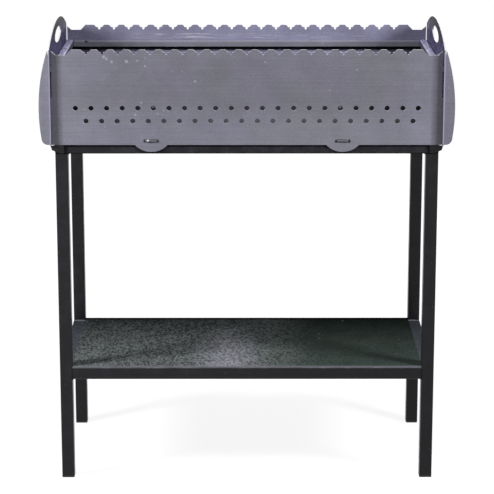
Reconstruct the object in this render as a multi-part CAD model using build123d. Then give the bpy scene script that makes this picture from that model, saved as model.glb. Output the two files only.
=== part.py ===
"""Charcoal grill: a sheet steel firebox that slots together, standing on a welded tube stand.

The origin is on the floor under the middle of the stand. X runs along the firebox, -Y is the
front, Z is up. Sizes are in millimetres.
"""
import os
from math import floor

from build123d import *

# Square tube of the stand
tube_size = 20.0
tube_wall = 1.5
tube_corner_radius = 2.0

# Stand, outside sizes
stand_length = 600.0
stand_depth = 300.0
stand_height = 555.0
shelf_rail_top = 186.5

# Foot caps
cap_flange = 3.0
cap_edge_radius = 1.0
cap_spigot_height = 12.0
cap_spigot_play = 0.3

# Shelf plate
shelf_thickness = 1.5
shelf_edge_inset = 0.5
shelf_rear_inset = 10.0
shelf_leg_clearance = 0.5

# Corner lugs that carry the firebox
lug_thickness = 3.0
lug_length = 14.0
lug_seat_length = 10.0
lug_depth = 13.0
lug_tip_reach = 0.5
lug_tip_slant = 2.0
lug_tip_depth = 6.5
lug_end_plate_clearance = 1.0

# Sheet of the firebox
sheet = 2.0
bottom_thickness = 3.0
joint_play = 0.75
joint_inner_slack = 1.8
lead_in_width = 2.0
lead_in_height = 10.0
wall_frame_clearance = 0.5

# Long walls
end_plate_offset = 6.0
wall_overhang = 5.5
wall_height = 149.5
joint_height = 74.0

# Skewer notches along the top of a long wall
notch_pitch = 24.9
notch_mouth = 16.6
notch_slope_depth = 3.8
notch_shoulder_width = 9.8
notch_shoulder_drop = 0.4
notch_slot_width = 3.5
notch_depth = 8.0
end_bump_least = 4.0

# Dip at each end of the top edge, beside the end plate
dip_depth = 8.6
dip_outer_run = 10.1
dip_floor = 15.6
dip_inner_run = 8.3

# Wings of the long walls, outside the end plates
wing_reach = 18.0
wing_radius = 300.0
wing_centre_height = 55.0
wing_corner_radius = 10.0

# Vent holes
vent_diameter = 8.0
vent_pitch = 24.25
vent_upper_height = 57.8
vent_lower_height = 37.5
vent_row_shift = 16.2
vent_end_margin = 31.0

# Tongues of the bottom plate and the tabs of the walls that they pass through
tab_spacing = 299.0
tab_radius = 35.0
tab_drop = 11.0
tongue_width = 17.5
tongue_side_play = 3.0
tongue_play_below = 1.7
tongue_play_above = 0.3
tongue_stand_out = 2.0
bottom_plate_clearance = 0.5

# End plates
end_flange = 6.8
end_overhang = 6.0
end_shoulder_rise = 1.5
end_crown = 28.0
end_corner_radius = 3.0
hand_hole_width = 107.0
hand_hole_height = 23.5
hand_hole_below_crown = 25.1

# Grate ledges
ledge_drop = 25.3
ledge_width = 12.5
ledge_lip = 10.0
ledge_bend_radius = 3.0
ledge_corner_gap = 0.75
ledge_wall_clearance = 1.0

# Places that follow from the sizes above
half_length = stand_length / 2
half_depth = stand_depth / 2
wall_inner_y = half_depth + wall_frame_clearance
wall_middle_y = wall_inner_y + sheet / 2
wall_outer_y = wall_inner_y + sheet
end_plate_x = half_length + end_plate_offset
end_inner_x = end_plate_x - sheet / 2
end_outer_x = end_plate_x + sheet / 2
wall_bottom_z = stand_height - wall_overhang
wall_top_z = wall_bottom_z + wall_height
joint_z = wall_bottom_z + joint_height
end_bottom_z = stand_height - end_overhang
end_shoulder_z = wall_top_z + end_shoulder_rise
end_crown_z = end_shoulder_z + end_crown
end_half_width = wall_outer_y + end_flange
joint_width = sheet + 2 * joint_play
ledge_top_z = wall_top_z - ledge_drop
end_ledge_inner_x = end_inner_x - ledge_width
long_ledge_half = end_ledge_inner_x - ledge_corner_gap
end_ledge_half = wall_inner_y - ledge_wall_clearance
post_centre_x = half_length - tube_size / 2
post_centre_y = half_depth - tube_size / 2
post_inner_x = half_length - tube_size
post_inner_y = half_depth - tube_size

CORNERS = {
    "front_left": (-1, -1),
    "front_right": (1, -1),
    "rear_left": (-1, 1),
    "rear_right": (1, 1),
}


def tube(length):
    """Square tube with rounded edges, standing on Z = 0 and centred on the Z axis."""
    bore = tube_size - 2 * tube_wall
    bore_radius = max(tube_corner_radius - tube_wall, 0.1 * tube_corner_radius)
    profile = RectangleRounded(tube_size, tube_size, tube_corner_radius)
    profile -= RectangleRounded(bore, bore, bore_radius)
    return extrude(profile, length)


def tube_along_x(length, y, z):
    """Tube centred on X = 0, with its axis at the given Y and Z."""
    return Pos(-length / 2, y, z) * Rot(0, 90, 0) * tube(length)


def tube_along_y(length, x, z):
    """Tube centred on Y = 0, with its axis at the given X and Z."""
    return Pos(x, length / 2, z) * Rot(90, 0, 0) * tube(length)


def leg(side_x, side_y):
    """Upright from its foot cap to the underside of the top frame."""
    length = stand_height - tube_size - cap_flange
    return Pos(side_x * post_centre_x, side_y * post_centre_y, cap_flange) * tube(length)


def foot_cap(side_x, side_y):
    """Plastic end cap: a flange under the leg and a spigot inside it."""
    flange = extrude(RectangleRounded(tube_size, tube_size, tube_corner_radius), cap_flange)
    sole = flange.edges().group_by(Axis.Z)[0]
    flange = fillet(sole, cap_edge_radius)
    spigot_size = tube_size - 2 * (tube_wall + cap_spigot_play)
    spigot = Pos(0, 0, cap_flange) * extrude(Rectangle(spigot_size, spigot_size), cap_spigot_height)
    return Pos(side_x * post_centre_x, side_y * post_centre_y, 0) * (flange + spigot)


def mitre_wedge(length, side_y, reach):
    """Block whose ends are cut at 45 degrees, over one long side of a frame."""
    outer = length / 2
    inner = outer - tube_size
    plan = make_face(
        Polyline(
            (-outer, side_y * reach),
            (outer, side_y * reach),
            (inner, side_y * (reach - tube_size)),
            (-inner, side_y * (reach - tube_size)),
            close=True,
        )
    )
    return Pos(0, 0, stand_height - tube_size) * extrude(plan, tube_size)


def top_long_rail(side_y):
    """Front or rear tube of the top frame, mitred at both ends."""
    rail = tube_along_x(stand_length, side_y * post_centre_y, stand_height - tube_size / 2)
    return rail & mitre_wedge(stand_length, side_y, half_depth)


def top_side_rail(side_x):
    """Left or right tube of the top frame, mitred at both ends."""
    rail = tube_along_y(stand_depth, side_x * post_centre_x, stand_height - tube_size / 2)
    return rail & (Rot(0, 0, -90) * mitre_wedge(stand_depth, side_x, half_length))


def shelf_long_rail(side_y):
    """Front or rear shelf tube, between two legs."""
    return tube_along_x(2 * post_inner_x, side_y * post_centre_y, shelf_rail_top - tube_size / 2)


def shelf_side_rail(side_x):
    """Left or right shelf tube, between two legs."""
    return tube_along_y(2 * post_inner_y, side_x * post_centre_x, shelf_rail_top - tube_size / 2)


def shelf_plate():
    """Sheet on the shelf rails, with a notch round each leg."""
    front_y = shelf_edge_inset - half_depth
    rear_y = half_depth - shelf_rear_inset
    plan = Rectangle(stand_length - 2 * shelf_edge_inset, rear_y - front_y)
    plan = Pos(0, (front_y + rear_y) / 2) * plan
    notch = tube_size + 2 * shelf_leg_clearance
    for side_x, side_y in CORNERS.values():
        plan -= Pos(side_x * post_centre_x, side_y * post_centre_y) * Rectangle(notch, notch)
    return Pos(0, 0, shelf_rail_top) * extrude(plan, shelf_thickness)


def standing_plate(face, y, thickness):
    """Plate made from a face drawn in X and Z, centred on the given Y."""
    return Pos(0, y, 0) * (Plane.XZ * extrude(face, thickness / 2, both=True))


def corner_lug(side_x, side_y):
    """Lug on a corner of the top frame: a seat for the long wall, then a tip that slopes down."""
    seat_start = half_length - lug_length
    seat_end = seat_start + lug_seat_length
    tip_x = end_plate_x + lug_tip_reach
    pass_z = end_bottom_z - lug_end_plate_clearance
    slope = (wall_bottom_z - pass_z) / (end_inner_x - seat_end)
    tip_z = wall_bottom_z - slope * (tip_x - seat_end)
    outline = make_face(
        Polyline(
            (seat_start, wall_bottom_z),
            (seat_end, wall_bottom_z),
            (tip_x, tip_z),
            (tip_x - lug_tip_slant, tip_z - lug_tip_depth),
            (half_length - lug_length / 2, wall_bottom_z - lug_depth),
            (seat_start, wall_bottom_z - lug_depth),
            close=True,
        )
    )
    plate = standing_plate(outline, side_y * (half_depth + lug_thickness / 2), lug_thickness)
    return plate if side_x > 0 else plate.mirror(Plane.YZ)


def centred_row(pitch, reach):
    """Places at a pitch either side of the middle, out to a reach."""
    count = floor(reach / pitch)
    return [step * pitch for step in range(-count, count + 1)]


def skewer_notch():
    """Notch seen from the front, with its mouth at Z = 0: two slopes, then a slot."""
    half_mouth = notch_mouth / 2
    half_shoulder = notch_shoulder_width / 2
    half_slot = notch_slot_width / 2
    shoulder_z = -notch_slope_depth - notch_shoulder_drop
    funnel = make_face(
        Polyline(
            (-half_mouth, notch_depth),
            (-half_mouth, 0),
            (-half_shoulder, -notch_slope_depth),
            (-half_slot, shoulder_z),
            (half_slot, shoulder_z),
            (half_shoulder, -notch_slope_depth),
            (half_mouth, 0),
            (half_mouth, notch_depth),
            close=True,
        )
    )
    slot = Pos(0, half_slot - notch_depth) * Circle(half_slot)
    slot += Pos(0, (shoulder_z + half_slot - notch_depth) / 2) * Rectangle(
        notch_slot_width, notch_depth + shoulder_z - half_slot
    )
    return funnel + slot


def end_dip():
    """Dip of the top edge beside the right-hand end plate."""
    outer_x = end_plate_x
    floor_end = outer_x - dip_outer_run
    floor_start = floor_end - dip_floor
    inner_x = floor_start - dip_inner_run
    return make_face(
        Polyline(
            (inner_x, wall_top_z),
            (floor_start, wall_top_z - dip_depth),
            (floor_end, wall_top_z - dip_depth),
            (outer_x, wall_top_z),
            (outer_x, wall_top_z + dip_depth),
            (inner_x, wall_top_z + dip_depth),
            close=True,
        )
    )


def wing():
    """Rounded part of a long wall outside the right-hand end plate."""
    centre_x = end_plate_x + wing_reach - wing_radius
    disc = Pos(centre_x, wall_bottom_z + wing_centre_height) * Circle(wing_radius)
    band = Pos(end_plate_x + wing_reach / 2, wall_bottom_z + wall_height / 2)
    shape = disc & (band * Rectangle(wing_reach, wall_height))
    lowest = shape.vertices().group_by(Axis.Y)[0].sort_by(Axis.X)[-1]
    return fillet(lowest, wing_corner_radius)


def wall_tabs():
    """Two round tabs below the bottom edge of a long wall."""
    centre_z = wall_bottom_z - tab_drop + tab_radius
    below = Pos(0, wall_bottom_z - tab_radius) * Rectangle(stand_length, 2 * tab_radius)
    tabs = Sketch()
    for side in (-1, 1):
        tabs += Pos(side * tab_spacing / 2, centre_z) * Circle(tab_radius)
    return tabs & below


def vent_holes():
    """Two staggered rows of round holes."""
    upper = centred_row(vent_pitch, end_plate_x - vent_end_margin)
    lower = [x + vent_row_shift for x in upper[:-1]]
    rows = ((upper, vent_upper_height), (lower, vent_lower_height))
    places = [(x, wall_bottom_z + height) for row, height in rows for x in row]
    return Sketch() + [Pos(x, z) * Circle(vent_diameter / 2) for x, z in places]


def tongue_slots():
    """Slots in a long wall for the tongues of the bottom plate."""
    width = tongue_width + 2 * tongue_side_play
    height = bottom_thickness + tongue_play_below + tongue_play_above
    z = stand_height - tongue_play_below + height / 2
    return Sketch() + [Pos(side * tab_spacing / 2, z) * Rectangle(width, height) for side in (-1, 1)]


def joint_slot():
    """Slot of a long wall for the right-hand end plate, with a lead-in on its outer side."""
    inner_x = end_inner_x - joint_inner_slack
    outer_x = end_outer_x + joint_play
    above_z = wall_top_z + lead_in_height
    return make_face(
        Polyline(
            (inner_x, joint_z),
            (outer_x, joint_z),
            (outer_x, wall_top_z - lead_in_height),
            (outer_x + lead_in_width, wall_top_z),
            (outer_x + lead_in_width, above_z),
            (inner_x, above_z),
            close=True,
        )
    )


def long_wall():
    """Front wall: notched top edge, vents, wings, tabs and the slots for the end plates."""
    dip_start = end_plate_x - dip_outer_run - dip_floor - dip_inner_run
    notch_reach = dip_start - end_bump_least - notch_mouth / 2
    notches = [
        Pos(x, wall_top_z) * skewer_notch() for x in centred_row(notch_pitch, notch_reach)
    ]
    body = Pos(0, wall_bottom_z + wall_height / 2) * Rectangle(2 * end_plate_x, wall_height)
    body += [wing(), wing().mirror(Plane.YZ), wall_tabs()]
    body -= [end_dip(), end_dip().mirror(Plane.YZ)]
    body -= notches
    body -= [vent_holes(), tongue_slots(), joint_slot(), joint_slot().mirror(Plane.YZ)]
    return standing_plate(body, -wall_middle_y, sheet)


def bottom_plate():
    """Floor of the firebox, on the top frame, with four tongues through the long walls."""
    half_x = end_inner_x - bottom_plate_clearance
    half_y = wall_inner_y - bottom_plate_clearance
    plan = Rectangle(2 * half_x, 2 * half_y)
    tongue_length = 2 * (wall_outer_y + tongue_stand_out)
    for side in (-1, 1):
        plan += Pos(side * tab_spacing / 2, 0) * Rectangle(tongue_width, tongue_length)
    return Pos(0, 0, stand_height) * extrude(plan, bottom_thickness)


def end_plate(side):
    """End plate with an arched top, a hand hole and slots that drop over the long walls."""
    outline = make_face(
        [
            Polyline(
                (end_half_width, end_shoulder_z),
                (end_half_width, end_bottom_z),
                (-end_half_width, end_bottom_z),
                (-end_half_width, end_shoulder_z),
            ),
            ThreePointArc(
                (-end_half_width, end_shoulder_z),
                (0, end_crown_z),
                (end_half_width, end_shoulder_z),
            ),
        ]
    )
    outline = fillet(outline.vertices(), end_corner_radius)
    hole_z = end_crown_z - hand_hole_below_crown
    outline -= Pos(0, hole_z) * Ellipse(hand_hole_width / 2, hand_hole_height / 2)
    slot_height = joint_z - end_bottom_z
    for side_y in (-1, 1):
        slot = Rectangle(joint_width, 2 * slot_height)
        outline -= Pos(side_y * wall_middle_y, end_bottom_z) * slot
    return Pos(side * end_plate_x, 0, 0) * (Plane.YZ * extrude(outline, sheet / 2, both=True))


def ledge_profile():
    """Folded channel, open below, from its wall at 0 to its inner lip, with its top at 0."""
    outer = Pos(ledge_width / 2, -ledge_lip / 2) * Rectangle(ledge_width, ledge_lip)
    outer = fillet(outer.vertices().group_by(Axis.Y)[-1], ledge_bend_radius)
    inner_width = ledge_width - 2 * sheet
    inner_height = ledge_lip - sheet
    inner = Pos(ledge_width / 2, -sheet - inner_height / 2) * Rectangle(inner_width, inner_height)
    inner = fillet(inner.vertices().group_by(Axis.Y)[-1], ledge_bend_radius - sheet)
    return outer - inner


def long_ledge(side_y):
    """Grate ledge on the inside of a long wall."""
    strip = Plane.YZ * extrude(ledge_profile(), long_ledge_half, both=True)
    strip = Pos(0, -wall_inner_y, ledge_top_z) * strip
    return strip if side_y < 0 else strip.mirror(Plane.XZ)


def end_ledge(side_x):
    """Grate ledge on the inside of an end plate."""
    strip = Plane.XZ * extrude(ledge_profile(), end_ledge_half, both=True)
    strip = Pos(-end_inner_x, 0, ledge_top_z) * strip
    return strip if side_x < 0 else strip.mirror(Plane.YZ)


def build_stand():
    """Legs, foot caps, rails, shelf and lugs, by node name."""
    nodes = {}
    for name, (side_x, side_y) in CORNERS.items():
        nodes[f"{name}_leg"] = leg(side_x, side_y)
        nodes[f"{name}_foot_cap"] = foot_cap(side_x, side_y)
        nodes[f"{name}_corner_lug"] = corner_lug(side_x, side_y)
    for name, side_y in (("front", -1), ("rear", 1)):
        nodes[f"{name}_top_rail"] = top_long_rail(side_y)
        nodes[f"{name}_shelf_rail"] = shelf_long_rail(side_y)
    for name, side_x in (("left", -1), ("right", 1)):
        nodes[f"{name}_top_rail"] = top_side_rail(side_x)
        nodes[f"{name}_shelf_rail"] = shelf_side_rail(side_x)
    nodes["shelf_plate"] = shelf_plate()
    return nodes


def build_firebox():
    """Walls, end plates, floor and ledges, by node name."""
    front = long_wall()
    return {
        "front_wall": front,
        "rear_wall": Rot(0, 0, 180) * front,
        "left_end_plate": end_plate(-1),
        "right_end_plate": end_plate(1),
        "bottom_plate": bottom_plate(),
        "front_ledge": long_ledge(-1),
        "rear_ledge": long_ledge(1),
        "left_ledge": end_ledge(-1),
        "right_ledge": end_ledge(1),
    }


def main():
    os.makedirs("parts", exist_ok=True)
    for name, shape in {**build_stand(), **build_firebox()}.items():
        export_step(shape, f"parts/{name}.step")


main()
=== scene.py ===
"""Looks of the charcoal grill: finishes, weld beads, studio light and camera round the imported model."""
import math
import random

import bmesh
import bpy
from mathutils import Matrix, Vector


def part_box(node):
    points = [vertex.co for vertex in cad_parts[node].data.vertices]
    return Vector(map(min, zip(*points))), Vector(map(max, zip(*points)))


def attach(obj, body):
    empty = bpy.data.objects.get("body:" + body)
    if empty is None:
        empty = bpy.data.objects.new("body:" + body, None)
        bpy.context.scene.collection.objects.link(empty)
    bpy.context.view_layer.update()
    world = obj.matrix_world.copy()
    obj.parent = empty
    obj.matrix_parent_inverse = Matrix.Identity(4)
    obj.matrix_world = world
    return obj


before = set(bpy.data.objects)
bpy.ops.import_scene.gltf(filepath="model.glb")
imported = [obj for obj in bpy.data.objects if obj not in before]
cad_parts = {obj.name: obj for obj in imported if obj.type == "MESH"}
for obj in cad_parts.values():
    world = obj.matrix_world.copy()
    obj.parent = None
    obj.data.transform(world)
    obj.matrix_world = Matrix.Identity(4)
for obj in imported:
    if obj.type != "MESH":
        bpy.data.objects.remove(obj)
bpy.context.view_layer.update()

X, Y, Z = range(3)


def steps(base, *offsets):
    """Places a few steps away from a face of the frame, in metres."""
    return tuple(base + offset for offset in offsets)


# Camera, solved from the photograph
camera_place = (-0.00433, -3.29421, 1.13955)
camera_tilt_deg = 76.506
camera_turn_deg = -0.082
camera_lens_mm = 149.0
camera_sensor_mm = 36.0

# Soft boxes: place, width and height in metres, and power in watts
lamp_aim = (0, 0, 0.65)
lamps = {
    "left_softbox": ((-1.463, -0.743, 1.31), (0.38, 0.42), 28.5),
    "right_softbox": ((1.395, -0.861, 1.31), (0.38, 0.42), 23.0),
    "top_softbox": ((0, -0.5, 2.9), (1.0, 0.8), 4.0),
    "rear_softbox": ((0.5, 2.6, 1.2), (1.4, 0.8), 10.0),
}

# Seeds of the weld beads
bead_seeds = {"front_left": 11, "front_right": 4, "rear_left": 16, "rear_right": 31}

# Background
white = (1, 1, 1, 1)
floor_size = 40.0
floor_colour = (0.25, 0.25, 0.25, 1)
floor_glow_near = 0.9
floor_glow_far = 1.0
floor_glow_reach = (0.5, 1.8)
world_seen = 1.0
world_lighting = 0.01

# Faces of the frame that the tones are measured from
wall_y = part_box("front_wall")[0].y
wall_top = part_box("front_wall")[1].z
rear_wall_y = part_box("rear_wall")[0].y
floor_low, floor_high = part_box("bottom_plate")
ledge_low, ledge_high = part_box("rear_ledge")
end_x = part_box("right_end_plate")[1].x
top_rail_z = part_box("front_top_rail")[1].z
shelf_rail_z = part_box("front_shelf_rail")[1].z
shelf_rail_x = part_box("front_shelf_rail")[1].x
rear_rail_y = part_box("rear_shelf_rail")[0].y
shelf_front_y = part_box("shelf_plate")[0].y

# Heights between which a tone of the walls and end plates comes or goes
# Painted shade: heights of the black band under a ledge, where its shadow falls
ledge_shade_start = steps(ledge_low.z, -0.0079, -0.0059)
ledge_shade_end = steps(ledge_low.z, 0.0003, 0.0023)
# Painted light: the outer face of a long wall is paler below these heights
wall_foot = steps(floor_low.z, 0.015, 0.070)
# Painted shade: the inner face of a long wall is darker below these heights
wall_rise = steps(floor_low.z, 0.035, 0.095)
notch_glow_start = steps(floor_low.z, 0.045, 0.085)
notch_glow_end = steps(floor_low.z, 0.101, 0.105)
pale_strip_start = steps(ledge_high.z, 0.0003, 0.0033)
pale_strip_end = steps(ledge_high.z, 0.0093, 0.0123)
crown_shade = steps(wall_top, -0.004, 0.023)

# Heights on the rails, used in the same way
# Painted shade: the top rails darken just under the walls' lower edge
rail_shade = steps(top_rail_z, -0.0105, -0.0055)
# Painted shade: the rear shelf rail's top darkens behind the shelf
shelf_rail_shade = steps(shelf_rail_z, -0.0035, -0.0015)
# Painted highlight: the front shelf rail's rounded top corner
shelf_rail_highlight = steps(shelf_rail_z, -0.0015, -0.0009)

# Distances from the middle between which a tone of the firebox comes or goes
# Painted light: the outer face is paler towards the ends and on the wings, and painted shade darkens the
# band before the right wing
wall_ends = steps(end_x, -0.087, -0.027)
band_edge = steps(end_x, -0.023, -0.015)
wing_start = steps(end_x, -0.0005, 0.0015)
# Painted shade: the firebox floor darkens towards the rear wall between these distances
floor_rear = steps(rear_wall_y, -0.0405, -0.0185)
# Painted shade: inner faces and the firebox floor darken towards the ends between these distances
inside_fall = (0.08, 0.28)
notch_glow_rise = (0.03, 0.18)
notch_glow_stop = (0.205, 0.245)

# Places along X or Y on the stand and its shelf, used in the same way
# Painted light: the paint's left and right gains change between these places
stand_sides = (-0.25, 0.25)
# Painted shade: the shelf turns darker and greener to the right between these places, where its grain is
# also smoother
shelf_right = (0.0, 0.15)
# Painted shade: the shelf darkens towards the rear
shelf_fall = (-0.13, 0.18)
shelf_ends = steps(shelf_rail_x, -0.001, 0.003)
# Painted shade: the shelf darkens by the rear rail
shelf_rear = steps(rear_rail_y, -0.008, 0.008)
# Painted highlight: pale strips at the shelf's ends, just in front of the rear rail
shelf_end_highlight_start = steps(rear_rail_y, -0.009, -0.006)
shelf_end_highlight_end = steps(rear_rail_y, -0.001, 0.0)
shelf_front_rub = steps(shelf_front_y, 0.003, 0.0065)

# Lit oval on the shelf, in metres
shelf_glow_centre = (-0.0301, -0.13)
shelf_glow_reach = (0.0752, 0.25)

# Soft patches on the inside of the walls: X, reach in metres and gain
wall_patches = ((-0.113, 0.075, 0.83), (-0.240, 0.018, 0.90), (0.222, 0.040, 1.28))

# Splashes on the front wall, in groups: how many, and the X, Z and radii that they lie between, in metres
splash_groups = (
    (7, (-0.225, -0.140), (0.672, 0.688), (0.0018, 0.0034)),
    (7, (-0.255, -0.080), (0.556, 0.650), (0.0015, 0.0028)),
)
splash_seed = 11

# Single marks seen in the photograph: X, Y, Z and radius in metres
# Painted highlight: a glint on the left tongue's end
tongue_glint = (-0.1545, floor_low.y, floor_high.z - 0.0008, 0.0024)
ledge_dark_spot = (-0.2705, ledge_low.y + 0.0005, ledge_high.z - 0.0012, 0.0036)

# Colours of the steel
steel_outside = (0.222, 0.217, 0.272)
steel_outside_green = (0.212, 0.217, 0.250)
steel_rear = (0.290, 0.285, 0.415)
# Painted shade: the dark inner tones of the end plates, darker on the left
steel_left_end_painted_shade = (0.054, 0.050, 0.112)
steel_right_end_painted_shade = (0.082, 0.075, 0.145)
# Painted shade: the firebox floor is darker than the walls
steel_floor = (0.085, 0.085, 0.105)
steel_ledge = (0.29, 0.28, 0.36)
# Painted light: the pale tops of the end ledges
steel_end_ledge_painted_light = (0.55, 0.525, 0.80)
steel_lip = (0.21, 0.21, 0.26)
# Painted shade: the dark lips of the end ledges
steel_end_lip_painted_shade = (0.07, 0.07, 0.09)
steel_shade = (0.008, 0.008, 0.010)
steel_edge = (0.42, 0.41, 0.50)
steel_end_edge = (0.36, 0.35, 0.44)
steel_floor_edge = (0.16, 0.155, 0.19)
# Painted highlight: the tone of cut edges that face up
steel_top_edge_highlight = (0.80, 0.79, 0.83)
steel_pale = (0.50, 0.49, 0.56)
steel_dark = (0.07, 0.065, 0.08)
steel_glint = (0.90, 0.90, 0.92)

# Colours of the paint and the plastic
paint_black = (0.009, 0.009, 0.011)
paint_rail = (0.024, 0.023, 0.028)
paint_shelf = (0.112, 0.124, 0.124)
# Painted shade: the shelf's darker, greener tone on the right
paint_shelf_right_shaded = (0.098, 0.134, 0.116)
paint_shelf_end = (0.085, 0.092, 0.112)
paint_pale = (0.46, 0.46, 0.53)
paint_worn = (0.22, 0.22, 0.25)
paint_edge = (0.27, 0.27, 0.31)
plastic_black = (0.018, 0.018, 0.019)
plastic_worn = (0.032, 0.032, 0.034)

# Gloss, as the shader's specular level
sheet_gloss = 0.25
left_end_gloss = 0.06
right_end_gloss = 0.035
paint_gloss = 0.2

# Painted light on the paint: gains on the left and on the right
stand_side_light = (1.7, 0.9)
top_rail_side_light = (1.45, 1.4)

# Contrast of the blotches on the inner faces
end_mottle = 0.5
end_ledge_mottle = 0.4

# Repeats of a drawn-out noise in a metre, along X, Y and Z
rolled_grain = (5.0, 5.0, 420.0)
pale_streak_grain = (22.0, 22.0, 700.0)
blotched_grain = (300.0, 60.0, 300.0)
hammered_grain = (290.0, 130.0, 290.0)

# Parts of a noise's range, from its low values to its high ones
wide_part = (0.3, 0.7)
middle_part = (0.36, 0.64)
narrow_part = (0.38, 0.62)
upper_part = (0.4, 0.7)

# Part of a unit normal along an axis, from a face turned aside to one that counts as facing along it
facing = (0.4, 0.7)
facing_up = (0.15, 0.5)


class Nodes:
    """A node tree with one short call for each node."""

    def __init__(self, tree):
        self.tree = tree

    def put(self, socket, value):
        """Links a socket to another one, or sets it to a plain value."""
        if isinstance(value, bpy.types.NodeSocket):
            self.tree.links.new(value, socket)
        else:
            socket.default_value = value

    def add(self, kind, inputs=(), **settings):
        made = self.tree.nodes.new(kind)
        for key, value in settings.items():
            setattr(made, key, value)
        for key, value in dict(inputs).items():
            self.put(made.inputs[key], value)
        return made

    def math(self, operation, a, b=0.0):
        return self.add("ShaderNodeMath", {0: a, 1: b}, operation=operation).outputs[0]

    def vector_math(self, operation, a, b=(0, 0, 0)):
        """An operation on vectors that gives a number."""
        return self.add("ShaderNodeVectorMath", {0: a, 1: b}, operation=operation).outputs["Value"]

    def seen_ray(self):
        """1 for camera, glossy and transmission rays, 0 for the rays that light a surface."""
        path = self.add("ShaderNodeLightPath").outputs
        seen = self.math("MAXIMUM", path["Is Camera Ray"], path["Is Glossy Ray"])
        return self.math("MAXIMUM", seen, path["Is Transmission Ray"])


class Finish(Nodes):
    """A material whose tones follow the object's own coordinates."""

    def __init__(self, name):
        self.material = bpy.data.materials.new(name)
        self.material.use_nodes = True
        super().__init__(self.material.node_tree)
        self.shader = self.tree.nodes["Principled BSDF"]
        coordinates = self.add("ShaderNodeTexCoord").outputs
        self.place = coordinates["Object"]
        self.normal = coordinates["Normal"]

    def stretched(self, scale, turn=(0, 0, 0)):
        """The object's own coordinates, scaled and turned."""
        inputs = {"Vector": self.place, "Scale": scale, "Rotation": turn}
        return self.add("ShaderNodeMapping", inputs).outputs["Vector"]

    def noise(self, scale, detail=3.0, roughness=0.5, place=None):
        inputs = {
            "Vector": place or self.place,
            "Scale": scale,
            "Detail": detail,
            "Roughness": roughness,
        }
        return self.add("ShaderNodeTexNoise", inputs).outputs["Fac"]

    def streaks(self, grain, detail=3.0, roughness=0.6):
        """Noise drawn out along some axes."""
        return self.noise(1.0, detail, roughness, self.stretched(grain))

    def cells(self, scale, place=None):
        """Distance to the nearest point of a scatter, and that point's own random colour."""
        made = self.add("ShaderNodeTexVoronoi", {"Vector": place or self.place, "Scale": scale})
        return made.outputs["Distance"], made.outputs["Color"]

    def between(self, value, low, high, out_low=0.0, out_high=1.0):
        """Maps low..high onto out_low..out_high with soft ends."""
        inputs = {
            "Value": value,
            "From Min": low,
            "From Max": high,
            "To Min": out_low,
            "To Max": out_high,
        }
        made = self.add("ShaderNodeMapRange", inputs, interpolation_type="SMOOTHSTEP")
        return made.outputs["Result"]

    def blend(self, factor, low, high):
        """A number that goes from low to high while a factor goes from 0 to 1."""
        return self.between(factor, 0.0, 1.0, low, high)

    def until(self, value, low, high):
        """1 below low, 0 above high."""
        return self.between(value, low, high, 1.0, 0.0)

    def swing(self, noise, part, amount):
        """A gain that a noise moves up and down by an amount."""
        return self.between(noise, *part, 1 - amount, 1 + amount)

    def share_of(self, chance, share):
        """1 on a share of the values of an even random number, and 0 on the others."""
        step = 0.02
        return self.between(chance, 1 - share, 1 - share + step)

    def product(self, *factors):
        result = factors[0]
        for factor in factors[1:]:
            result = self.math("MULTIPLY", result, factor)
        return result

    def tinted(self, colour, factor):
        """A colour made lighter or darker by a factor."""
        grey = self.add("ShaderNodeCombineColor", {"Red": factor, "Green": factor, "Blue": factor})
        return self.mix(1.0, colour, grey.outputs["Color"], "MULTIPLY")

    def mix(self, factor, a, b, blend="MIX"):
        a, b = (c if isinstance(c, bpy.types.NodeSocket) else (*c, 1) for c in (a, b))
        inputs = {"Factor": factor, 6: a, 7: b}
        made = self.add("ShaderNodeMix", inputs, data_type="RGBA", blend_type=blend)
        return made.outputs[2]

    def split(self, vector):
        return self.add("ShaderNodeSeparateXYZ", {"Vector": vector}).outputs

    def bump(self, height, distance):
        return self.add("ShaderNodeBump", {"Height": height, "Distance": distance}).outputs["Normal"]

    def set(self, **sockets):
        names = {
            "colour": "Base Color",
            "metal": "Metallic",
            "rough": "Roughness",
            "normal": "Normal",
            "gloss": "Specular IOR Level",
        }
        for key, value in sockets.items():
            self.put(self.shader.inputs[names[key]], value)


def scattered_spots(finish, scale, size, share):
    """Round soft spots of about one size on a share of the cells of a scatter."""
    core = 0.4
    distance, colour = finish.cells(scale)
    spot = finish.until(distance, core * size, size)
    return finish.product(spot, finish.share_of(finish.split(colour)[0], share))


def scratches(finish, tilt, length, pitch):
    """Fine lines, each a short stretch of one cell of a drawn-out scatter."""
    core = 0.03
    reach = 0.12
    share = 0.03
    place = finish.stretched((1 / length, 1 / length, 1 / pitch), (0, tilt, 0))
    distance, colour = finish.cells(1.0, place)
    line = finish.until(distance, core, reach)
    return finish.product(line, finish.share_of(finish.split(colour)[1], share))


def marks(finish, places):
    """Soft round spots, 1 at each place and 0 past its radius."""
    core = 0.3
    result = 0.0
    for *place, radius in places:
        away = finish.vector_math("DISTANCE", finish.place, place)
        result = finish.math("MAXIMUM", finish.until(away, core * radius, radius), result)
    return result


def scattered_places(y, groups, seed):
    """Places and radii of marks on the plane at y, a few in the box of each group."""
    rng = random.Random(seed)
    places = []
    for count, across, up, radii in groups:
        for _ in range(count):
            places.append((rng.uniform(*across), y, rng.uniform(*up), rng.uniform(*radii)))
    return places


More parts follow.
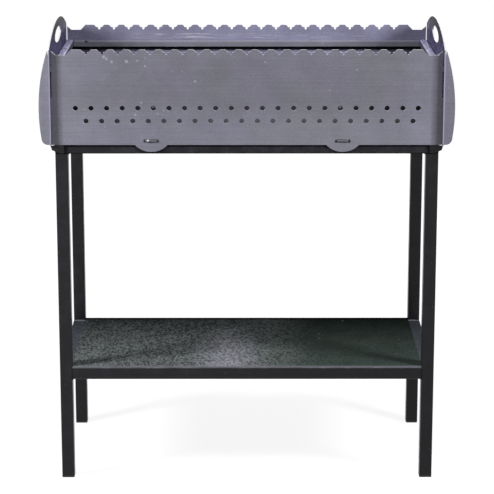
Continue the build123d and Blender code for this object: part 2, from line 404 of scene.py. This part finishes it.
def wall_outside(finish, x, z):
    """Outer tone of a long wall: painted light makes it paler at the foot, towards the ends and on the
    wings.

    The band between the wall's ends and its wings is plain, and painted shade darkens it on the right.
    """
    foot_gain = 0.2
    ends_gain = 0.12
    wing_gain = 1.27
    left_wing_gain = 1.2
    right_wing_gain = 1.25
    right_band_gain = 0.8
    across = finish.split(finish.place)[X]
    # Painted light at the foot and the ends and on the wings, and painted shade in the right band
    paler = finish.math(
        "ADD",
        finish.between(z, *wall_foot, foot_gain, 0.0),
        finish.between(x, *wall_ends, 0.0, ends_gain),
    )
    gain = finish.product(
        finish.math("ADD", 1.0, finish.product(paler, finish.until(x, *band_edge))),
        finish.between(x, *wing_start, 1.0, wing_gain),
        finish.between(finish.product(across, -1.0), *wing_start, 1.0, left_wing_gain),
        finish.between(across, *band_edge, 1.0, right_band_gain),
        finish.between(across, *wing_start, 1.0, right_wing_gain),
    )
    green = finish.between(finish.noise(scale=9.0, detail=2.0), *upper_part)
    return finish.tinted(finish.mix(green, steel_outside, steel_outside_green), gain)


def glow_behind_notches(finish, x, z):
    """Gain of the light that falls through the notches: strong on both sides, dim at the ends."""
    glow = 1.75
    ends_glow = 0.38
    along = finish.product(
        finish.between(x, *notch_glow_rise, 1.0, glow),
        finish.between(x, *notch_glow_stop, 1.0, ends_glow),
    )
    lit = finish.product(finish.between(z, *notch_glow_start), finish.until(z, *notch_glow_end))
    return finish.math("ADD", finish.product(lit, finish.math("SUBTRACT", along, 1.0)), 1.0)


def pale_streaks(finish, z):
    """Pale streaks in a narrow strip above the ledge."""
    streak_part = (0.52, 0.66)
    cover_part = (0.42, 0.54)
    return finish.product(
        finish.between(finish.streaks(pale_streak_grain), *streak_part),
        finish.between(finish.noise(scale=6.5, detail=1.0), *cover_part),
        finish.between(z, *pale_strip_start),
        finish.until(z, *pale_strip_end),
    )


def wall_inside(finish, x, z):
    """Inner tone of a long wall: pale streaks above the ledge, and painted shade under it and at the
    foot.
    """
    foot_level = 0.19
    foot_ends_level = 0.02
    rise = 0.75
    # Painted shade: darker at the foot and towards the ends
    level = finish.math(
        "ADD",
        finish.between(x, *inside_fall, foot_level, foot_ends_level),
        finish.product(finish.between(z, *wall_rise), rise),
    )
    level = finish.product(level, glow_behind_notches(finish, x, z))
    across = finish.split(finish.place)[X]
    for centre, reach, gain in wall_patches:
        away = finish.math("ABSOLUTE", finish.math("SUBTRACT", across, centre))
        level = finish.product(level, finish.between(away, 0.0, reach, gain, 1.0))
    tone = finish.mix(pale_streaks(finish, z), finish.tinted(steel_rear, level), steel_pale)
    # Painted shade: a black band on the inner face just under the ledge
    shaded = finish.math(
        "SUBTRACT", finish.between(z, *ledge_shade_start), finish.between(z, *ledge_shade_end)
    )
    return finish.mix(shaded, tone, steel_shade)


def floor_inside(finish, x, z):
    """Floor tone in painted light: palest in the middle, which is where light falls into the firebox."""
    ends_gain = 0.3
    rear_gain = 0.75
    rear_ends_gain = 0.4
    y = finish.split(finish.place)[Y]
    at_rear = finish.between(x, *inside_fall, rear_gain, rear_ends_gain)
    # Painted shade: darker by the rear wall and towards the ends
    gain = finish.product(
        finish.between(y, *floor_rear, 1.0, at_rear),
        finish.between(x, *inside_fall, 1.0, ends_gain),
    )
    return finish.tinted(steel_floor, gain)


def end_inside(tone):
    """Inner tone of an end plate, which is painted shade: darker towards its crown."""
    crown_gain = 0.2
    return lambda finish, x, z: finish.tinted(tone, finish.between(z, *crown_shade, 1.0, crown_gain))


def rolled_shade(finish, cloud, grain, is_inner, mottle):
    """Gain of rolled sheet: clouds, grain, rolling lines and blotches, which are fainter outside."""
    outer_share = 0.2
    shade = finish.product(
        finish.swing(finish.noise(scale=6.0), wide_part, amount=0.04),
        finish.swing(cloud, wide_part, amount=0.06),
        finish.swing(grain, wide_part, amount=0.12),
        finish.swing(finish.streaks(rolled_grain), wide_part, amount=0.05),
    )
    if not mottle:
        return shade
    blots = finish.streaks(blotched_grain, detail=2.0, roughness=0.7)
    depth = finish.blend(is_inner, outer_share * mottle, mottle)
    blots = finish.product(finish.between(blots, *narrow_part, -1.0, 1.0), depth)
    return finish.product(shade, finish.math("ADD", blots, 1.0))


def spotted(finish, colour, lines, splashes):
    """A colour with pale and dark spots, splashes and scratches on it."""
    pale_strength = 0.4
    splash_strength = 0.75
    dark_strength = 0.35
    scratch_strength = 0.25
    pale = finish.math(
        "MAXIMUM",
        finish.product(scattered_spots(finish, scale=70.0, size=0.16, share=0.1), pale_strength),
        finish.product(marks(finish, splashes), splash_strength),
    )
    dark = finish.product(scattered_spots(finish, scale=110.0, size=0.16, share=0.06), dark_strength)
    colour = finish.mix(pale, colour, steel_pale)
    colour = finish.mix(dark, colour, steel_dark)
    return finish.mix(finish.product(lines, scratch_strength), colour, steel_pale)


def steel_finish(
    name,
    face,
    cut,
    inner,
    outer,
    edge=steel_edge,
    mottle=0.0,
    gloss=sheet_gloss,
    splashes=(),
    dark_spots=(),
    glints=(),
):
    """Bare rolled sheet in two tones with bright cut edges, and a painted highlight on those that face
    up.

    face is an axis and the sign of the normal that gets the inner tone, the rest get the outer.
    cut is "rim" or "ends" and an axis: the cut faces are all but those square to it, or only those.
    A tone is a colour, or a call that makes it from the distance to the middle and the height.
    """
    face_metal = 0.1
    edge_metal = 0.5
    top_edge_metal = 0.75
    least_rough = 0.46
    most_rough = 0.56
    scratch_depth = -0.6
    relief_m = 0.00012
    finish = Finish(name)
    normal = finish.split(finish.normal)
    x, _, z = finish.split(finish.place)
    x = finish.math("ABSOLUTE", x)
    inner, outer = (tone(finish, x, z) if callable(tone) else tone for tone in (inner, outer))
    face_axis, face_sign = face
    is_inner = finish.between(finish.product(normal[face_axis], face_sign), *facing)

    cloud = finish.noise(scale=34.0, detail=5.0, roughness=0.65)
    grain = finish.noise(scale=420.0, detail=4.0, roughness=0.75)
    lines = finish.math(
        "MAXIMUM",
        scratches(finish, tilt=0.35, length=0.05, pitch=0.0009),
        scratches(finish, tilt=-0.9, length=0.035, pitch=0.0008),
    )
    colour = finish.mix(is_inner, outer, inner)
    colour = finish.tinted(colour, rolled_shade(finish, cloud, grain, is_inner, mottle))
    colour = spotted(finish, colour, lines, splashes)

    cut_part, cut_axis = cut
    square = finish.math("ABSOLUTE", normal[cut_axis])
    is_cut = finish.until(square, *facing) if cut_part == "rim" else finish.between(square, *facing)
    upward = finish.between(normal[Z], *facing_up)
    # Painted highlight on the cut edges that face up
    colour = finish.mix(is_cut, colour, finish.mix(upward, edge, steel_top_edge_highlight))
    colour = finish.mix(marks(finish, dark_spots), colour, steel_shade)
    # Painted highlight: glints
    colour = finish.mix(marks(finish, glints), colour, steel_glint)
    metal = finish.product(is_cut, finish.blend(upward, edge_metal, top_edge_metal))
    relief = finish.math("ADD", grain, finish.product(lines, scratch_depth))
    finish.set(
        colour=colour,
        metal=finish.math("MAXIMUM", metal, face_metal),
        rough=finish.between(cloud, *wide_part, least_rough, most_rough),
        normal=finish.bump(relief, relief_m),
        gloss=gloss,
    )
    return finish.material


def paint_finish(name, colour=paint_black, gloss=paint_gloss, gains=stand_side_light, shade=None, wear_and_highlight=None):
    """Black powder coat with the fine pebbling of a cured film.

    gains are painted light, on the left and right. The last two arguments are pairs of heights, above
    which it has painted shade and a painted highlight, in that order.
    """
    dust_part = (0.35, 0.75)
    dust_gain = 1.6
    speck_strength = 0.3
    least_rub = 0.5
    least_rough = 0.34
    most_rough = 0.46
    relief_m = 0.00012
    finish = Finish(name)
    x, _, z = finish.split(finish.place)
    peel = finish.noise(scale=900.0, roughness=0.6)
    dust = finish.between(finish.noise(scale=38.0, detail=5.0, roughness=0.65), *dust_part)
    # Painted light: lighter on the left and darker on the right
    side = finish.between(x, *stand_sides, *gains)
    tint = finish.tinted(colour, finish.product(side, finish.blend(dust, 1.0, dust_gain)))
    specks = finish.product(scattered_spots(finish, scale=260.0, size=0.22, share=0.1), speck_strength)
    tint = finish.mix(specks, tint, paint_worn)
    if shade:
        # Painted shade above the shade heights
        tint = finish.tinted(tint, finish.until(z, *shade))
    if wear_and_highlight:
        # Painted highlight: paler above the last pair of heights
        paled = finish.product(finish.between(z, *wear_and_highlight), finish.blend(dust, least_rub, 1.0))
        tint = finish.mix(paled, tint, paint_edge)
    finish.set(
        colour=tint,
        rough=finish.blend(dust, least_rough, most_rough),
        normal=finish.bump(peel, relief_m),
        gloss=gloss,
    )
    return finish.material


def shelf_level(finish, y, grains, rightward, at_ends):
    """Gain of the shelf: granular on the left, smoother on the right, with painted shade there and to the
    rear.
    """
    ends_calm = 0.8
    right_gain = 0.5
    left_rear_gain = 0.25
    right_rear_gain = 0.19
    ends_rear_gain = 0.5
    rail_gain = 0.3
    coarse_gains = (0.4, 1.7)
    cloud = finish.noise(scale=26.0, detail=4.0, roughness=0.6)
    rough_grain = finish.between(grains, *middle_part, *coarse_gains)
    smooth_grain = finish.swing(grains, middle_part, amount=0.15)
    calm = finish.math("MAXIMUM", rightward, finish.product(at_ends, ends_calm))
    smoother = finish.product(calm, finish.math("SUBTRACT", smooth_grain, rough_grain))
    rear_gain = finish.blend(rightward, left_rear_gain, right_rear_gain)
    rear_gain = finish.blend(at_ends, rear_gain, ends_rear_gain)
    return finish.product(
        finish.math("ADD", rough_grain, smoother),
        finish.blend(at_ends, finish.blend(rightward, 1.0, right_gain), 1.0),
        finish.swing(cloud, wide_part, amount=0.1),
        finish.between(y, *shelf_fall, 1.0, rear_gain),
        finish.between(y, *shelf_rear, 1.0, rail_gain),
    )


def shelf_glow(finish, grains):
    """Share of the pale tone in the lit oval, least in the hollows of the grain."""
    shares = (0.2, 0.6)
    inputs = {
        "Vector": finish.place,
        "Location": (*(-c / r for c, r in zip(shelf_glow_centre, shelf_glow_reach)), 0),
        "Scale": (*(1 / r for r in shelf_glow_reach), 0),
    }
    oval = finish.add("ShaderNodeMapping", inputs).outputs["Vector"]
    lit = finish.until(finish.vector_math("LENGTH", oval), 0.0, 1.0)
    return finish.product(lit, finish.between(grains, *middle_part, *shares))


def shelf_finish(name):
    """Dark green-grey hammered coat, worn at the front, with painted highlights at the ends and a pale
    cut rim.
    """
    front_rub = 0.4
    paling_strength = 0.7
    speck_strength = 0.6
    roughness = 0.36
    relief_m = 0.0004
    finish = Finish(name)
    x, y, _ = finish.split(finish.place)
    rightward = finish.between(x, *shelf_right)
    at_ends = finish.between(finish.math("ABSOLUTE", x), *shelf_ends)
    grains = finish.streaks(hammered_grain, roughness=0.7)
    base = finish.mix(rightward, paint_shelf, paint_shelf_right_shaded)
    base = finish.mix(at_ends, base, paint_shelf_end)
    tint = finish.tinted(base, shelf_level(finish, y, grains, rightward, at_ends))
    tint = finish.mix(shelf_glow(finish, grains), tint, paint_pale)
    # Painted highlight on strips at the ends by the rear rail, and wear along the front
    paled = finish.product(at_ends, finish.between(y, *shelf_end_highlight_start), finish.until(y, *shelf_end_highlight_end))
    paled = finish.math("MAXIMUM", paled, finish.between(y, *shelf_front_rub, front_rub, 0.0))
    rim = finish.until(finish.math("ABSOLUTE", finish.split(finish.normal)[Z]), *facing)
    tint = finish.mix(finish.math("MAXIMUM", finish.product(paled, paling_strength), rim), tint, paint_edge)
    specks = finish.product(scattered_spots(finish, scale=90.0, size=0.14, share=0.06), speck_strength)
    tint = finish.mix(specks, tint, steel_pale)
    finish.set(colour=tint, rough=roughness, normal=finish.bump(grains, relief_m), gloss=0.0)
    return finish.material


def plastic_finish(name):
    """Moulded black plastic with a fine spark-eroded texture."""
    least_rough = 0.55
    most_rough = 0.7
    relief_m = 0.00008
    finish = Finish(name)
    fine = finish.noise(scale=1500.0, detail=2.0)
    wear_and_highlight = finish.between(finish.noise(scale=90.0, roughness=0.6), *upper_part)
    finish.set(
        colour=finish.mix(wear_and_highlight, plastic_black, plastic_worn),
        rough=finish.blend(wear_and_highlight, least_rough, most_rough),
        normal=finish.bump(fine, relief_m),
    )
    return finish.material


def firebox_finishes():
    """Finishes of the firebox's nodes by name."""
    splashes = scattered_places(wall_y, splash_groups, splash_seed)
    finishes = {
        "front_wall": steel_finish(
            "front_wall_steel", (Y, 1), ("rim", Y), wall_inside, wall_outside, splashes=splashes
        ),
        "rear_wall": steel_finish("rear_wall_steel", (Y, -1), ("rim", Y), wall_inside, wall_outside),
        "bottom_plate": steel_finish(
            "floor_steel",
            (Z, 1),
            ("rim", Z),
            floor_inside,
            steel_outside,
            steel_floor_edge,
            glints=[tongue_glint],
        ),
        "front_ledge": steel_finish("front_ledge_steel", (Z, 1), ("ends", X), steel_ledge, steel_lip),
        "rear_ledge": steel_finish(
            "rear_ledge_steel", (Z, 1), ("ends", X), steel_ledge, steel_lip, dark_spots=[ledge_dark_spot]
        ),
    }
    sides = (
        ("left", 1, steel_left_end_painted_shade, left_end_gloss),
        ("right", -1, steel_right_end_painted_shade, right_end_gloss),
    )
    # Painted shade on the inner faces of the end plates
    for side, inward, tone, gloss in sides:
        finishes[f"{side}_end_plate"] = steel_finish(
            f"{side}_end_steel",
            (X, inward),
            ("rim", X),
            end_inside(tone),
            steel_outside,
            steel_end_edge,
            mottle=end_mottle,
            gloss=gloss,
        )
        # Painted light on the end ledges' tops and painted shade on their lips
        finishes[f"{side}_ledge"] = steel_finish(
            f"{side}_ledge_steel",
            (Z, 1),
            ("ends", Y),
            steel_end_ledge_painted_light,
            steel_end_lip_painted_shade,
            mottle=end_ledge_mottle,
        )
    return finishes


def dress_nodes(paint):
    """Gives every CAD node its finish, which is the stand's paint where no other is named."""
    rail_paint = paint_finish(
        "top_rail_paint", paint_rail, gloss=0.0, gains=top_rail_side_light, shade=rail_shade
    )
    finishes = {
        **firebox_finishes(),
        "front_top_rail": rail_paint,
        "rear_top_rail": rail_paint,
        "front_shelf_rail": paint_finish("front_shelf_rail_paint", wear_and_highlight=shelf_rail_highlight),
        "rear_shelf_rail": paint_finish("rear_shelf_rail_paint", gloss=0.0, shade=shelf_rail_shade),
        "shelf_plate": shelf_finish("shelf_paint"),
    }
    plastic = plastic_finish("foot_plastic")
    for name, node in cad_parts.items():
        finish = finishes.get(name, plastic if name.endswith("_foot_cap") else paint)
        for slot in node.material_slots:
            slot.material = finish


def bead_mesh(runs, radius, seed):
    """Weld beads along straight runs: lumpy round ropes, each closed at both ends."""
    step = 0.0011
    fewest_steps = 4
    sides = 10
    ripple = 0.16
    ripple_pace = 2.1
    jitter = 0.08
    end_fraction = 0.02
    end_bluntness = 0.25
    rng = random.Random(seed)
    mesh = bmesh.new()
    for start, end in runs:
        start, end = Vector(start), Vector(end)
        along = (end - start).normalized()
        across = along.orthogonal().normalized()
        up = along.cross(across)
        count = max(fewest_steps, round((end - start).length / step))
        rings = []
        for i in range(count + 1):
            fraction = i / count
            inside = min(max(fraction, end_fraction), 1 - end_fraction)
            taper = math.sin(math.pi * inside) ** end_bluntness
            lump = 1 + ripple * math.sin(i * ripple_pace) + rng.uniform(-jitter, jitter)
            centre = start.lerp(end, fraction)
            ring = []
            for j in range(sides):
                angle = 2 * math.pi * j / sides
                offset = across * math.cos(angle) + up * math.sin(angle)
                ring.append(mesh.verts.new(centre + offset * radius * taper * lump))
            rings.append(ring)
        for low, high in zip(rings, rings[1:]):
            for j in range(sides):
                k = (j + 1) % sides
                mesh.faces.new((low[j], low[k], high[k], high[j]))
        mesh.faces.new(reversed(rings[0]))
        mesh.faces.new(rings[-1])
    bmesh.ops.recalc_face_normals(mesh, faces=mesh.faces)
    made = bpy.data.meshes.new("beads")
    mesh.to_mesh(made)
    mesh.free()
    made.shade_smooth()
    return made


def weld_beads(paint):
    """Fillet welds on each leg's inner sides, under the top frame and under the shelf rails."""
    radius = 0.0016
    sink = 0.0006
    end_gap = 0.0025
    for end_name, face in (("front", -1), ("rear", 1)):
        for side_name, side in (("left", -1), ("right", 1)):
            corner = f"{end_name}_{side_name}"
            low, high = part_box(f"{corner}_leg")
            inner_x = (low if side > 0 else high).x - side * sink
            inner_y = (low if face > 0 else high).y - face * sink
            rail_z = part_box(f"{end_name}_shelf_rail")[0].z
            runs = []
            for z in (high.z - sink, rail_z - sink):
                runs.append(((inner_x, low.y + end_gap, z), (inner_x, high.y - end_gap, z)))
                runs.append(((low.x + end_gap, inner_y, z), (high.x - end_gap, inner_y, z)))
            mesh = bead_mesh(runs, radius, bead_seeds[corner])
            mesh.materials.append(paint)
            piece = bpy.data.objects.new(f"{corner}_weld_beads", mesh)
            bpy.context.scene.collection.objects.link(piece)
            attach(piece, "stand")


def make_floor():
    """Pale floor, white to the camera but for the object's shadow."""
    half = floor_size / 2
    corners = [(-half, -half, 0), (half, -half, 0), (half, half, 0), (-half, half, 0)]
    mesh = bpy.data.meshes.new("floor")
    mesh.from_pydata(corners, [], [(0, 1, 2, 3)])
    floor = bpy.data.objects.new("floor", mesh)
    bpy.context.scene.collection.objects.link(floor)
    material = bpy.data.materials.new("floor")
    material.use_nodes = True
    nodes = Nodes(material.node_tree)
    nodes.tree.nodes.clear()
    place = nodes.add("ShaderNodeTexCoord").outputs["Object"]
    near, far = floor_glow_reach
    levels = {
        "Value": nodes.vector_math("LENGTH", place),
        "From Min": near,
        "From Max": far,
        "To Min": floor_glow_near,
        "To Max": floor_glow_far,
    }
    level = nodes.add("ShaderNodeMapRange", levels).outputs["Result"]
    strength = nodes.math("MULTIPLY", nodes.seen_ray(), level)
    diffuse = nodes.add("ShaderNodeBsdfDiffuse", {"Color": floor_colour}).outputs[0]
    glow = nodes.add("ShaderNodeEmission", {"Strength": strength}).outputs[0]
    both = nodes.add("ShaderNodeAddShader", {0: diffuse, 1: glow}).outputs[0]
    nodes.add("ShaderNodeOutputMaterial", {"Surface": both})
    mesh.materials.append(material)


def make_world():
    """White where it is seen, and a soft fill where it only lights."""
    world = bpy.data.worlds.new("studio")
    world.use_nodes = True
    bpy.context.scene.world = world
    nodes = Nodes(world.node_tree)
    levels = {"Value": nodes.seen_ray(), "To Min": world_lighting, "To Max": world_seen}
    background = nodes.tree.nodes["Background"]
    nodes.put(background.inputs["Color"], white)
    nodes.put(background.inputs["Strength"], nodes.add("ShaderNodeMapRange", levels).outputs["Result"])


def make_lights():
    """Soft box lamps, each turned to the firebox."""
    for name, (place, size, power) in lamps.items():
        data = bpy.data.lights.new(name, "AREA")
        data.shape = "RECTANGLE"
        data.size, data.size_y = size
        data.energy = power
        lamp = bpy.data.objects.new(name, data)
        bpy.context.scene.collection.objects.link(lamp)
        lamp.location = place
        lamp.rotation_euler = (Vector(lamp_aim) - Vector(place)).to_track_quat("-Z", "Y").to_euler()


def make_camera():
    data = bpy.data.cameras.new("camera")
    data.sensor_width = camera_sensor_mm
    data.lens = camera_lens_mm
    camera = bpy.data.objects.new("camera", data)
    bpy.context.scene.collection.objects.link(camera)
    camera.location = camera_place
    camera.rotation_euler = (math.radians(camera_tilt_deg), 0, math.radians(camera_turn_deg))
    bpy.context.scene.camera = camera


make_camera()
make_world()
make_floor()
make_lights()
stand_paint = paint_finish("stand_paint")
dress_nodes(stand_paint)
weld_beads(stand_paint)
bpy.context.scene.view_settings.view_transform = "Standard"
